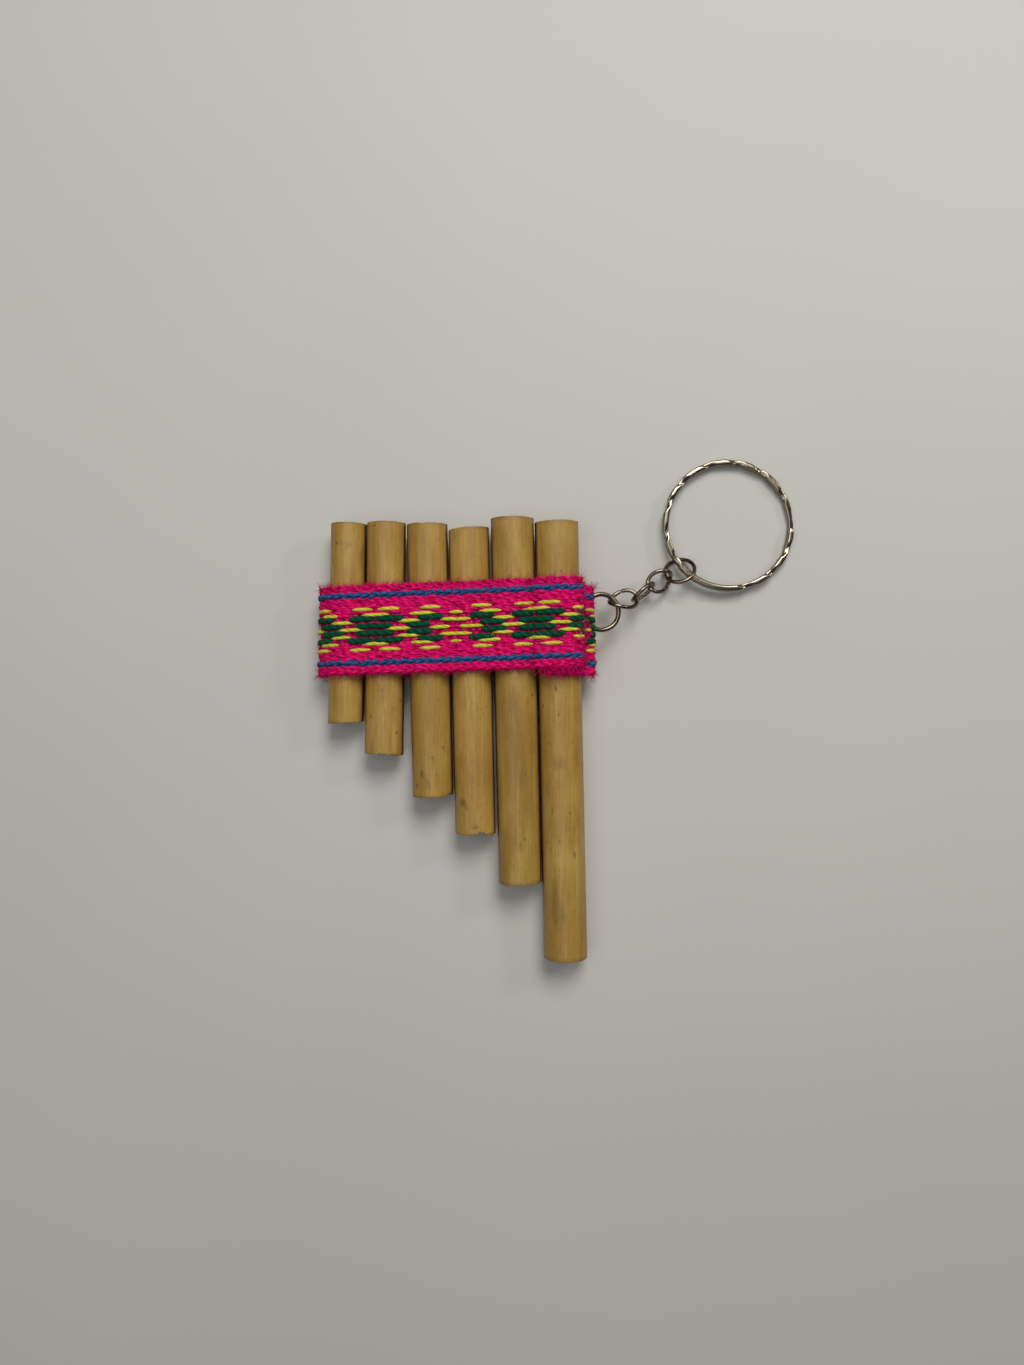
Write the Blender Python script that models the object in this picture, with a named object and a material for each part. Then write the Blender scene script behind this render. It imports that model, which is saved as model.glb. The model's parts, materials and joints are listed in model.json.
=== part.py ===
"""Pan flute pendant on a key ring.

Six stopped cane pipes stand side by side inside one woven band. A short chain runs from the band
to a split key ring. The flute lies on its back: +X across the pipes towards the longest one,
+Y towards the mouths, +Z up. The origin is the middle of the band's flat back.
Units are metres and degrees.
"""

import math

import bmesh
import bpy
from mathutils import Euler, Matrix, Vector

MM = 0.001

# Cane pipes, from the shortest to the longest.
PIPE_DIAMETERS = [d * MM for d in (6.4, 7.0, 7.35, 7.4, 7.8, 7.9)]
PIPE_LENGTHS = [length * MM for length in (36.8, 42.8, 50.2, 56.4, 67.4, 80.8)]
MOUTH_HEIGHTS = [y * MM for y in (19.3, 19.4, 19.1, 18.3, 20.2, 19.5)]  # above the band's middle
MOUTH_GAPS = [gap * MM for gap in (0.3, 0.35, 0.3, 0.5, 0.3)]  # between neighbours, at the mouths
PIPE_LEANS = [-1.13, -0.75, 1.17, 1.26, 1.29, 1.28]  # degrees, positive swings the foot to +X
MOUTH_SLANTS = [0.0, 0.8, -0.5, 3.2, -0.8, 0.4]  # degrees off square, positive lowers the -X side
FOOT_SLANTS = [4.5, -1.5, 1.0, -1.2, 0.8, -0.6]
PIPE_WALL = 0.85 * MM
STOP_THICKNESS = 1.2 * MM  # the cane's growth node, left in as the pipe's stopper
STOP_FROM_FOOT = 2.6 * MM
RIM_CHAMFER = 0.25 * MM
PIPE_SIDES = 36
MOUTH_LINE = 19.3 * MM  # above the band's middle, where the gaps between the pipes are set

# Woven band.
BAND_WIDTH = 15.7 * MM
BAND_THICKNESS = 1.0 * MM
BAND_CLEARANCE = 0.3 * MM  # between the cloth and the pipes, and between its two layers
BAND_TUCK = 3.4 * MM  # how far the strip starts before the longest pipe's crown
BAND_END_ANGLE = 50.0  # where the free end stops on the longest pipe's shoulder
BAND_SLACK = 0.75 * MM  # looseness past the shortest pipe
BAND_RISE = 1.8 * MM  # how much the front climbs from the left to the right
BAND_STEP = 1.5 * MM  # how much lower the under layer runs than the free end
FLAT_BACK_NORMAL = -0.99  # cloth that faces down at least this squarely lies flat

# Ring sewn through the band.
BAND_RING_DIAMETER = 7.5 * MM
BAND_RING_WIRE = 0.9 * MM
BAND_RING_Y = 2.9 * MM
BAND_RING_TILT = -10.0  # its outer side hangs lower
BAND_RING_SWING = 35.0  # either way from square to the cloth
POCKET_ANGLE = 10.0  # direction, up from +X, in which the cloth bulges to let the ring through
POCKET_HALF_ARC = 20.0
POCKET_PLAY = 0.55 * MM
RING_CLEARANCE = 0.3 * MM  # between the ring and the cloth that it hangs on
RING_INSET = 0.2 * MM  # how much further in the ring's wire lies than it has to
RING_HOLE_PLAY = 0.4 * MM  # all round the wire, in the two holes of the cloth
HOLE_CUTTER_DEPTH = 4.0  # in cloth thicknesses

# Chain links: outer length, outer width, heading, roll at the near end and at the far end.
LINK_WIRE = 0.75 * MM
LINK_CLEARANCE = 0.25 * MM
LINKS = {
    "chain_link_1": (6.3 * MM, 4.9 * MM, 14.0, 115.0, 170.0),
    "chain_link_2": (5.8 * MM, 4.4 * MM, 36.0, 78.0, 68.0),
    "chain_link_3": (5.9 * MM, 4.6 * MM, 30.0, -14.0, 50.0),
}
FIRST_HOOK_ANGLE = 36.0  # where the first link hooks on the band's ring, from +X

# Ring between the chain and the key ring.
KEY_JUMP_DIAMETER = 6.4 * MM
KEY_JUMP_WIRE = 0.75 * MM
KEY_JUMP_HEADING = 25.0
KEY_JUMP_ROLL = -40.0

# Split key ring.
KEY_RING_DIAMETER = 25.0 * MM
COIL_WIDTH = 1.1 * MM
COIL_HEIGHT = 0.8 * MM
COIL_GAP = 0.1 * MM
KEY_RING_HEADING = 44.0
COIL_CORNER = 0.24 * MM
KEY_RING_PLAY = 0.64 * MM  # between the coils and the wire of the jump ring that they hang in
SPLIT_ANGLE = 330.0  # where the coils' ends lie, seen from the key ring's middle
COIL_STEPS = 42  # sections in a turn
CLIMB_SHARE = 0.16  # share of a turn in which the wire climbs from one coil to the next
KEY_RING_FACETS = 14
FACET_DEPTH = 0.06 * MM

CANE = ("cane", (0.36, 0.23, 0.075, 1.0), 0.55, 0.0)
WOVEN_WOOL = ("woven_wool", (0.55, 0.03, 0.13, 1.0), 0.95, 0.0)
NICKEL = ("nickel_plate", (0.56, 0.53, 0.46, 1.0), 0.25, 1.0)


def material(finish):
    """The Principled material of one finish: name, colour, roughness and metallic value."""
    name, colour, roughness, metallic = finish
    made = bpy.data.materials.get(name)
    if made:
        return made
    made = bpy.data.materials.new(name)
    made.use_nodes = True
    shader = made.node_tree.nodes["Principled BSDF"]
    shader.inputs["Base Color"].default_value = colour
    shader.inputs["Roughness"].default_value = roughness
    shader.inputs["Metallic"].default_value = metallic
    made.diffuse_color = colour
    return made


def object_of(name, data, finish):
    """A new object in the scene with its data's first slot set to the finish."""
    made = bpy.data.objects.new(name, data)
    data.materials.append(material(finish))
    bpy.context.scene.collection.objects.link(made)
    return made


def mesh_object(name, bm, finish, sharp_angle=40.0):
    """The bmesh as an object with smooth faces and edges that stay sharp past an angle."""
    bmesh.ops.recalc_face_normals(bm, faces=bm.faces)
    mesh = bpy.data.meshes.new(name)
    bm.to_mesh(mesh)
    bm.free()
    mesh.shade_smooth()
    mesh.set_sharp_from_angle(angle=math.radians(sharp_angle))
    return object_of(name, mesh, finish)


def swept(sections):
    """A closed body through the sections, made by extruding its end outline from one to the next."""
    bm = bmesh.new()
    outline = [bm.verts.new(corner) for corner in sections[0]]
    bm.faces.new(outline)
    for section in sections[1:]:
        edges = [bm.edges.get(pair) for pair in zip(outline, outline[1:] + outline[:1])]
        made = bmesh.ops.extrude_edge_only(bm, edges=edges)["geom"]
        corners = [item for item in made if isinstance(item, bmesh.types.BMVert)]
        order = {tuple(vert.co): i for i, vert in enumerate(outline)}
        corners.sort(key=lambda vert: order[tuple(vert.co)])
        for vert, place in zip(corners, section):
            vert.co = place
        outline = corners
    bm.faces.new(outline)
    return bm


# ---- cane pipes ----

def foot_drop(index):
    """How far below the band's middle a pipe's foot lies."""
    return PIPE_LENGTHS[index] - MOUTH_HEIGHTS[index]


def pitch_slope():
    """Rise of the pipes per metre towards the mouths: the deepest foot just meets the table."""
    underside = BAND_THICKNESS + BAND_CLEARANCE
    return underside / max(foot_drop(i) for i in range(len(PIPE_LENGTHS)))


def spacing(index):
    """From the first pipe's axis to another's, along the mouth line."""
    x = 0.0
    for i in range(index):
        x += PIPE_DIAMETERS[i] / 2 + MOUTH_GAPS[i] + PIPE_DIAMETERS[i + 1] / 2
    return x


def lean_shift(index, y):
    """How far a pipe's lean carries its axis to +X at the given y."""
    return (MOUTH_LINE - y) * math.tan(math.radians(PIPE_LEANS[index]))


def pipe_axis(index, y):
    """The point of a pipe's axis at the given y; the outer two are level with x = 0 at y = 0."""
    last = len(PIPE_DIAMETERS) - 1
    middle = (lean_shift(0, 0) + spacing(last) + lean_shift(last, 0)) / 2
    x = spacing(index) + lean_shift(index, y) - middle
    z = BAND_THICKNESS + BAND_CLEARANCE + PIPE_DIAMETERS[index] / 2 + y * pitch_slope()
    return Vector((x, y, z))


def pipe_profile(radius, length):
    """The half section from the stopper's lower side, over the outside, to its upper side."""
    bore = radius - PIPE_WALL
    stop_low = STOP_FROM_FOOT
    stop_high = STOP_FROM_FOOT + STOP_THICKNESS
    chamfer = RIM_CHAMFER
    return [
        (0, stop_low),
        (bore, stop_low),
        (bore, 0),
        (radius - chamfer, 0),
        (radius, chamfer),
        (radius, length - chamfer),
        (radius - chamfer, length),
        (bore, length),
        (bore, stop_high),
        (0, stop_high),
    ]


def cane_pipe(index):
    """One tube turned about its axis, its two ends cut a little off square."""
    radius = PIPE_DIAMETERS[index] / 2
    length = PIPE_LENGTHS[index]
    bm = bmesh.new()
    section = [bm.verts.new((r, 0, h)) for r, h in pipe_profile(radius, length)]
    for low, high in zip(section, section[1:]):
        bm.edges.new((low, high))
    bmesh.ops.spin(
        bm,
        geom=bm.verts[:] + bm.edges[:],
        cent=(0, 0, 0),
        axis=(0, 0, 1),
        angle=math.tau,
        steps=PIPE_SIDES,
        use_merge=True,
    )
    bmesh.ops.remove_doubles(bm, verts=bm.verts, dist=1e-6)
    mouth_slope = math.tan(math.radians(MOUTH_SLANTS[index]))
    foot_slope = math.tan(math.radians(FOOT_SLANTS[index]))
    for vert in bm.verts:
        if vert.co.z > length - 2 * RIM_CHAMFER:
            vert.co.z += vert.co.x * mouth_slope
        elif vert.co.z < 2 * RIM_CHAMFER:
            vert.co.z += vert.co.x * foot_slope
    pipe = mesh_object(f"pipe_{index + 1}", bm, CANE)
    foot = pipe_axis(index, -foot_drop(index))
    mouth = pipe_axis(index, MOUTH_HEIGHTS[index])
    along = (mouth - foot).normalized()
    across = along.cross(Vector((0, 0, 1))).normalized()
    down = along.cross(across)
    pipe.location = foot
    pipe.rotation_euler = Matrix((across, down, along)).transposed().to_euler()
    return pipe


# ---- woven band ----

def bulged_radius(snug, bulge, angle, middle, half_arc):
    """Radius of a taut wrap round a circle that also carries a wider arc."""
    reach = math.acos(snug / (snug + bulge))
    outside = max(0.0, abs(angle - middle) - half_arc)
    return snug / math.cos(max(0.0, reach - outside))


def ring_pocket():
    """Room between the longest pipe and the cloth for the ring that passes through it."""
    return BAND_RING_WIRE + RING_CLEARANCE + POCKET_PLAY


def band_stations():
    """The strip's route as (pipe, angle, lift) stations, from its hidden start to its free end.

    A station's angle is the direction from the pipe's axis to the cloth's inner face, and its
    lift is the extra height of the layer that lies over the start.
    """
    last = len(PIPE_DIAMETERS) - 1
    lift = BAND_THICKNESS + BAND_CLEARANCE
    right_turn = [(last, math.radians(a), 0.0) for a in range(90, -91, -10)]
    left_turn = [(0, math.radians(a), 0.0) for a in range(-90, -271, -12)]
    front = [(i, math.pi / 2, 0.0) for i in range(1, last)]
    free_end = [
        (last, math.radians(a), lift)
        for a in (90.0, 80.0, 70.0, 60.0, BAND_END_ANGLE)
    ]
    return right_turn, left_turn, front, free_end


def station_point(station, y):
    """The cloth's inner face at one station, in the section at the given y."""
    index, angle, lift = station
    last = len(PIPE_DIAMETERS) - 1
    snug = PIPE_DIAMETERS[index] / 2 + BAND_CLEARANCE
    if index == last:
        middle, half = math.radians(POCKET_ANGLE), math.radians(POCKET_HALF_ARC)
        radius = bulged_radius(snug, ring_pocket() - BAND_CLEARANCE, angle, middle, half)
    elif index == 0:
        half = math.radians(POCKET_HALF_ARC)
        radius = bulged_radius(snug, BAND_SLACK, angle, -math.pi, half)
    else:
        radius = snug
    axis = pipe_axis(index, y)
    radius += lift
    return Vector((axis.x + radius * math.cos(angle), y, axis.z + radius * math.sin(angle)))


def tucked_point(setback, lift, y):
    """A point on the front, the setback before the longest pipe's crown."""
    last = len(PIPE_DIAMETERS) - 1
    crown = station_point((last, math.pi / 2, lift), y)
    before = station_point((last - 1, math.pi / 2, lift), y)
    return crown.lerp(before, setback / (crown - before).length)


def band_route(edge):
    """Inner-face points of one long edge of the strip; edge is -1 for the lower, 1 for the upper."""
    right_turn, left_turn, front, free_end = band_stations()
    half = edge * BAND_WIDTH / 2
    left_y = half - BAND_RISE / 2
    under_y = half + BAND_RISE / 2 - BAND_STEP
    free_y = half + BAND_RISE / 2
    width = station_point(right_turn[0], 0).x - station_point(left_turn[-1], 0).x

    def front_y(point):
        share = (point.x - station_point(left_turn[-1], 0).x) / width
        return left_y + (free_y - left_y) * share

    points = [tucked_point(BAND_TUCK, 0.0, under_y)]
    points += [station_point(station, under_y) for station in right_turn]
    points += [station_point(station, left_y) for station in left_turn]
    for station in front:
        points.append(station_point(station, front_y(station_point(station, 0))))
    ramp_top = tucked_point(BAND_TUCK + BAND_CLEARANCE, BAND_THICKNESS + BAND_CLEARANCE, 0)
    points.append(
        tucked_point(
            BAND_TUCK + BAND_CLEARANCE, BAND_THICKNESS + BAND_CLEARANCE, front_y(ramp_top)
        )
    )
    points += [station_point(station, free_y) for station in free_end]
    return points


def outward(points):
    """The unit normals of a clockwise route in the XZ plane, pointing away from the pipes."""
    normals = []
    for i in range(len(points)):
        before = points[max(i - 1, 0)]
        after = points[min(i + 1, len(points) - 1)]
        ahead = after - before
        normals.append(Vector((-ahead.z, 0, ahead.x)).normalized())
    return normals


def thickened(points):
    """The cloth's outer face over its inner face, flat on the table along the back."""
    outer = []
    for point, normal in zip(points, outward(points)):
        moved = point + normal * BAND_THICKNESS
        if normal.z < FLAT_BACK_NORMAL:
            moved.z = 0.0
        moved.z = max(moved.z, 0.0)
        outer.append(moved)
    return outer


def band_wrap():
    """The strip, swept along its route by extruding its end face from station to station."""
    lower, upper = band_route(-1), band_route(1)
    sections = list(zip(lower, thickened(lower), thickened(upper), upper))
    bm = swept(sections)
    band = mesh_object("band_wrap", bm, WOVEN_WOOL)
    for number, side in enumerate((-1, 1)):
        cut = band.modifiers.new(f"ring_hole_{number + 1}", "BOOLEAN")
        cut.operation = "DIFFERENCE"
        cut.object = ring_hole(side)
    return band


# ---- ring sewn through the band ----

def band_ring_hinge():
    """The middle of the cloth where the ring passes through it."""
    axis = pipe_axis(len(PIPE_DIAMETERS) - 1, BAND_RING_Y)
    radius = PIPE_DIAMETERS[-1] / 2 + ring_pocket() + BAND_THICKNESS / 2
    angle = math.radians(POCKET_ANGLE)
    return axis + Vector((radius * math.cos(angle), 0, radius * math.sin(angle)))


def band_ring_radius():
    """From the middle of the band's ring to the middle of its wire."""
    return (BAND_RING_DIAMETER - BAND_RING_WIRE) / 2


def ring_reach():
    """From the band's hinge to the middle of the ring sewn through it."""
    inside = BAND_THICKNESS / 2 + RING_CLEARANCE + BAND_RING_WIRE / 2 + RING_INSET
    return band_ring_radius() - inside


def ring_crossing(depth, side):
    """The Y of the wire's inner (-1) or outer (1) edge, at a depth outside the cloth's middle."""
    away = ring_reach() - depth
    middle = math.sqrt(band_ring_radius() ** 2 - away ** 2)
    slanted_half = BAND_RING_WIRE / 2 * math.hypot(1, away / middle)
    return middle + side * slanted_half


def ring_hole_size():
    """Where a hole starts and ends along Y, and its height, for the ring's whole swing."""
    swing = math.radians(BAND_RING_SWING)
    slant = BAND_THICKNESS / 2 / math.cos(swing)
    start = ring_crossing(-slant, -1) - RING_HOLE_PLAY
    end = ring_crossing(slant, 1) + RING_HOLE_PLAY
    half_height = BAND_THICKNESS / 2 * math.tan(swing)
    half_height += BAND_RING_WIRE / 2 / math.cos(swing) + RING_HOLE_PLAY
    return start, end, 2 * half_height


def ring_hole(side):
    """The cutter of one of the two holes that the ring passes through."""
    start, end, height = ring_hole_size()
    bm = bmesh.new()
    bmesh.ops.create_cube(bm, size=1.0)
    size = Vector((BAND_THICKNESS * HOLE_CUTTER_DEPTH, end - start, height))
    bmesh.ops.scale(bm, vec=size, verts=bm.verts)
    cutter = mesh_object(f"ring_hole_cutter_{'upper' if side > 0 else 'lower'}", bm, WOVEN_WOOL)
    offset = Vector((0, side * (start + end) / 2, 0))
    cutter.location = band_ring_hinge() + offset
    cutter.rotation_euler = Euler((0, -math.radians(POCKET_ANGLE), 0))
    cutter.hide_render = True
    cutter.display_type = "WIRE"
    return cutter


def wire_loop(name, points, wire, finish):
    """A closed loop of round wire along the given points."""
    curve = bpy.data.curves.new(name, "CURVE")
    curve.dimensions = "3D"
    curve.bevel_depth = wire / 2
    curve.bevel_resolution = 2
    curve.twist_mode = "MINIMUM"
    spline = curve.splines.new("POLY")
    spline.points.add(len(points) - 1)
    for place, point in zip(spline.points, points):
        place.co = (*point, 1.0)
    spline.use_cyclic_u = True
    spline.use_smooth = True
    return object_of(name, curve, finish)


def circle_points(centre_x, radius, count=36):
    """Points round a circle in the local XY plane."""
    angles = [math.tau * i / count for i in range(count)]
    return [(centre_x + radius * math.cos(a), radius * math.sin(a), 0.0) for a in angles]


def direction(heading, elevation=0.0):
    """Unit vector at a heading from +X in the XY plane and an elevation above it."""
    h, e = math.radians(heading), math.radians(elevation)
    return Vector((math.cos(h) * math.cos(e), math.sin(h) * math.cos(e), math.sin(e)))


def aim(thing, place, heading, elevation, roll):
    """Put the object's origin at a place, its local X at a heading and elevation, then roll it."""
    turn = Matrix.Rotation(math.radians(heading), 3, "Z")
    turn @= Matrix.Rotation(-math.radians(elevation), 3, "Y")
    turn @= Matrix.Rotation(math.radians(roll), 3, "X")
    thing.location = place
    thing.rotation_euler = turn.to_euler()
    bpy.context.view_layer.update()


def band_ring():
    """The ring through the band, its origin on the cloth between its two holes."""
    points = circle_points(ring_reach(), band_ring_radius())
    ring = wire_loop("jump_ring_band", points, BAND_RING_WIRE, NICKEL)
    aim(ring, band_ring_hinge(), 0.0, BAND_RING_TILT, 0.0)
    return ring


def first_hook():
    """The point of the band ring's wire that the first link hooks round."""
    angle = math.radians(FIRST_HOOK_ANGLE)
    local = Vector((ring_reach(), 0, 0))
    local += band_ring_radius() * Vector((math.cos(angle), math.sin(angle), 0))
    turn = Matrix.Rotation(-math.radians(BAND_RING_TILT), 3, "Y")
    return band_ring_hinge() + turn @ local


# ---- chain ----

def link_points(length, width, near_roll, far_roll, setback, count=32):
    """An oval of wire that twists along its length, starting the setback behind the origin."""
    half_length = (length - LINK_WIRE) / 2
    half_width = (width - LINK_WIRE) / 2
    points = []
    for i in range(count):
        angle = math.tau * i / count
        along = -math.cos(angle)
        side = math.sin(angle)
        twist = (far_roll - near_roll) * (along + 1) / 2
        roll = math.radians(twist)
        x = half_length * (along + 1) - setback
        y = half_width * side
        points.append((x, y * math.cos(roll), y * math.sin(roll)))
    return points


def setback(wire):
    """How far a hooked piece's own wire lies behind the wire that it hooks round."""
    return (wire + LINK_WIRE) / 2 + LINK_CLEARANCE


def held_wire(name):
    """The wire that a link hooks round."""
    return BAND_RING_WIRE if name == next(iter(LINKS)) else LINK_WIRE


def link_reach(name):
    """From a link's hook to the wire at its far end."""
    return LINKS[name][0] - LINK_WIRE - setback(held_wire(name))


def chain_slope():
    """Elevation that brings the three links down to the jump ring on the table."""
    drop = first_hook().z - key_jump_height()
    return -math.degrees(math.asin(drop / sum(link_reach(name) for name in LINKS)))


def chain_links():
    """The links, each hooked round the far end of the one before, and where the last one ends."""
    place = first_hook()
    links = []
    for name, (length, width, heading, near_roll, far_roll) in LINKS.items():
        points = link_points(length, width, near_roll, far_roll, setback(held_wire(name)))
        link = wire_loop(name, points, LINK_WIRE, NICKEL)
        aim(link, place, heading, chain_slope(), near_roll)
        links.append(link)
        place = place + direction(heading, chain_slope()) * link_reach(name)
    return links, place


# ---- ring between the chain and the key ring ----

def key_jump_radius():
    """From the middle of the key ring's jump ring to the middle of its wire."""
    return (KEY_JUMP_DIAMETER - KEY_JUMP_WIRE) / 2


def key_jump_height():
    """Height of the jump ring's middle when its low side touches the table."""
    sink = math.sin(math.radians(abs(KEY_JUMP_ROLL)))
    return key_jump_radius() * sink + KEY_JUMP_WIRE / 2


def key_jump_reach():
    """From the last link's far wire to the middle of the jump ring that hooks on it."""
    return key_jump_radius() - setback(KEY_JUMP_WIRE)


def key_jump_ring(place):
    """The round ring hooked on the last link, leaning so that the key ring passes through it."""
    points = circle_points(key_jump_reach(), key_jump_radius())
    ring = wire_loop("jump_ring_key", points, KEY_JUMP_WIRE, NICKEL)
    aim(ring, place, KEY_JUMP_HEADING, 0.0, KEY_JUMP_ROLL)
    return ring


# ---- split key ring ----

def coil_radius():
    """From the key ring's middle to the middle of its wire."""
    return (KEY_RING_DIAMETER - COIL_WIDTH) / 2


def key_ring_bundle():
    """Height of the two coils together."""
    return 2 * COIL_HEIGHT + COIL_GAP


def key_ring_offset():
    """From the jump ring's middle to the coils, which hang near its far wire."""
    room = key_jump_radius() - KEY_JUMP_WIRE / 2
    return room - math.hypot(COIL_WIDTH, key_ring_bundle()) / 2 - KEY_RING_PLAY


def key_ring_tilt():
    """The near side of the key ring is propped up on the jump ring's wire."""
    lift = key_jump_height() - key_ring_bundle() / 2
    return -math.degrees(math.asin(lift / (2 * coil_radius() + COIL_WIDTH / 2)))


def coil_section(centre, angle):
    """The flat wire's eight-cornered section at one point of the coil."""
    corner = COIL_CORNER
    w, h = COIL_WIDTH / 2, COIL_HEIGHT / 2
    outline = [
        (-w, -h + corner), (-w + corner, -h), (w - corner, -h), (w, -h + corner),
        (w, h - corner), (w - corner, h), (-w + corner, h), (-w, h - corner),
    ]
    outward = Vector((math.cos(angle), math.sin(angle), 0))
    return [centre + outward * across + Vector((0, 0, up)) for across, up in outline]


def key_ring(last_hook):
    """The split ring, its origin where its coils pass through the jump ring.

    The wire makes two turns and climbs by one coil in a short stretch. Its outside is hammered
    into shallow flats.
    """
    steps = 2 * COIL_STEPS - 2
    rise = COIL_HEIGHT + COIL_GAP
    sections = []
    for i in range(steps + 1):
        turn = i / COIL_STEPS
        level = min(max((turn - 1.0) / CLIMB_SHARE + 0.5, 0.0), 1.0)
        level = level * level * (3 - 2 * level)
        flat = 0.5 - 0.5 * math.cos(KEY_RING_FACETS * math.tau * turn)
        radius = coil_radius() - FACET_DEPTH * flat
        angle = math.tau * turn + math.radians(SPLIT_ANGLE)
        centre = Vector((radius * math.cos(angle), radius * math.sin(angle), 0))
        centre += Vector((coil_radius(), 0, (level - 0.5) * rise))
        sections.append(coil_section(centre, angle))
    ring = mesh_object("key_ring", swept(sections), NICKEL)
    reach = key_jump_reach() + key_ring_offset()
    place = last_hook + direction(KEY_JUMP_HEADING) * reach
    aim(ring, place, KEY_RING_HEADING, key_ring_tilt(), 0.0)
    return ring


def hang_from(piece, holder):
    """Parent a piece to what it hangs on, leaving it where it is."""
    piece.parent = holder
    piece.matrix_parent_inverse = holder.matrix_world.inverted()


def build():
    for old in list(bpy.data.objects):
        bpy.data.objects.remove(old)
    pipes = [cane_pipe(i) for i in range(len(PIPE_DIAMETERS))]
    band = band_wrap()
    for pipe in pipes:
        hang_from(pipe, band)
    holder = band_ring()
    hang_from(holder, band)
    links, last_hook = chain_links()
    jump = key_jump_ring(last_hook)
    split = key_ring(last_hook)
    for piece in [*links, jump, split]:
        hang_from(piece, holder)
        holder = piece


build()
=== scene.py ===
# %% [markdown]
# # A small pan flute on a key ring
# Six stopped cane pipes stand side by side inside one woven wool band. Rings and a short chain
# lead from the band to a split key ring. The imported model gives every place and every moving
# body, and this lesson builds the fine surfaces around it: cane, cloth and wire.

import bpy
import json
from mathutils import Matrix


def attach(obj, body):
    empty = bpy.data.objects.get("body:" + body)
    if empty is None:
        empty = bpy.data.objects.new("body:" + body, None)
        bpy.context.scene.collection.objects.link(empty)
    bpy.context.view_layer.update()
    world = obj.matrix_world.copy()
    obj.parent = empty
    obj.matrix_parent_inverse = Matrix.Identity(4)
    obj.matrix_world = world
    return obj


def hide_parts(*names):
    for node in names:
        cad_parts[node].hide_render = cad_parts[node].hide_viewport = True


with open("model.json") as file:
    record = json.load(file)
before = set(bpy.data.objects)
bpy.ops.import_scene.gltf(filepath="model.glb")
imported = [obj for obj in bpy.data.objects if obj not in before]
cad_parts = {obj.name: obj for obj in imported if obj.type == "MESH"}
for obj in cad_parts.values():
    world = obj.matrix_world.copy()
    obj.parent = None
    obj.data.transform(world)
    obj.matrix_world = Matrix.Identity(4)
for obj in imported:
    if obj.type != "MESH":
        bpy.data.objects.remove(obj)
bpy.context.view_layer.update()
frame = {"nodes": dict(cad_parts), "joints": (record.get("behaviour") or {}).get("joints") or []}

import json
import math

import bmesh
import bpy
import numpy as np
from mathutils import Vector

MM = 0.001

# %% [markdown]
# ## Camera
# The flute lies on a table and is seen from straight above by a wide lens held close. A far
# camera with a long lens would hide how the pipes' sides lean away from the middle, so the
# camera stands near, as a hand-held one does.

# %% Camera
CAMERA_PLACE = (11.0 * MM, -10.1 * MM, 188.0 * MM)
CAMERA_LENS_MM = 26.0
CAMERA_SENSOR_MM = 36.0

camera_data = bpy.data.cameras.new("view")
camera_data.lens = CAMERA_LENS_MM
camera_data.sensor_width = CAMERA_SENSOR_MM
camera_data.clip_start = 1 * MM
camera = bpy.data.objects.new("view", camera_data)
camera.location = CAMERA_PLACE
bpy.context.scene.collection.objects.link(camera)
bpy.context.scene.camera = camera

# %% [markdown]
# ## Node helpers
# Every finish below is a small tree of nodes around a Principled shader. Short helpers keep
# the trees readable: they add a node and fill its sockets, make a colour ramp or a noise, mix,
# add up, and start a material.


# %% Node helpers
def fill(tree, socket, value):
    """A link or a fixed value for one socket; a colour of three numbers gets its fourth."""
    if isinstance(value, bpy.types.NodeSocket):
        tree.links.new(value, socket)
    elif socket.type == "RGBA" and len(value) == 3:
        socket.default_value = (*value, 1.0)
    else:
        socket.default_value = value


def add(tree, kind, inputs=None, **settings):
    """A node of the given kind, with its settings, and values or links for its sockets."""
    node = tree.nodes.new("ShaderNode" + kind)
    for key, value in settings.items():
        setattr(node, key, value)
    for key, value in (inputs or {}).items():
        fill(tree, node.inputs[key], value)
    return node


def ramp(tree, factor, *stops):
    """A colour ramp through (position, colour) stops; a single number is a grey."""
    node = add(tree, "ValToRGB", {"Fac": factor})
    elements = node.color_ramp.elements
    for _ in stops[2:]:
        elements.new(0.5)
    for element, (position, colour) in zip(elements, stops):
        element.position = position
        element.color = (*colour, 1.0) if isinstance(colour, tuple) else (colour,) * 3 + (1.0,)
    return node.outputs["Color"]


def noise(tree, where, scale, detail=3.0, roughness=0.55, distortion=0.0):
    """A noise value from 0 to 1, its scale in waves per metre of the given coordinates."""
    values = {"Vector": where, "Scale": scale, "Detail": detail}
    values |= {"Roughness": roughness, "Distortion": distortion}
    return add(tree, "TexNoise", values).outputs["Fac"]


def stretched(tree, where, scale):
    """The coordinates with each axis scaled, so that a pattern runs longer one way."""
    return add(tree, "Mapping", {"Vector": where, "Scale": scale}).outputs["Vector"]


def mix(tree, factor, low, high):
    """Two colours mixed by a factor."""
    node = add(tree, "Mix", data_type="RGBA")
    for index, value in ((0, factor), (6, low), (7, high)):
        fill(tree, node.inputs[index], value)
    return node.outputs[2]


def maths(tree, operation, first, second=0.0):
    """One arithmetic step on two values."""
    return add(tree, "Math", {0: first, 1: second}, operation=operation).outputs[0]


def plus(tree, first, second, share):
    """The first value plus a share of the second."""
    return maths(tree, "ADD", first, maths(tree, "MULTIPLY", second, share))


def new_finish(name):
    """A new material, its node tree, its shader and the object's own coordinates."""
    finish = bpy.data.materials.new(name)
    finish.use_nodes = True
    tree = finish.node_tree
    where = add(tree, "TexCoord").outputs["Object"]
    return finish, tree, tree.nodes["Principled BSDF"], where


def connect(tree, shader, **sockets):
    """Fills the shader's sockets, whose names have spaces for underscores."""
    for name, value in sockets.items():
        fill(tree, shader.inputs[name.replace("_", " ")], value)


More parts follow.
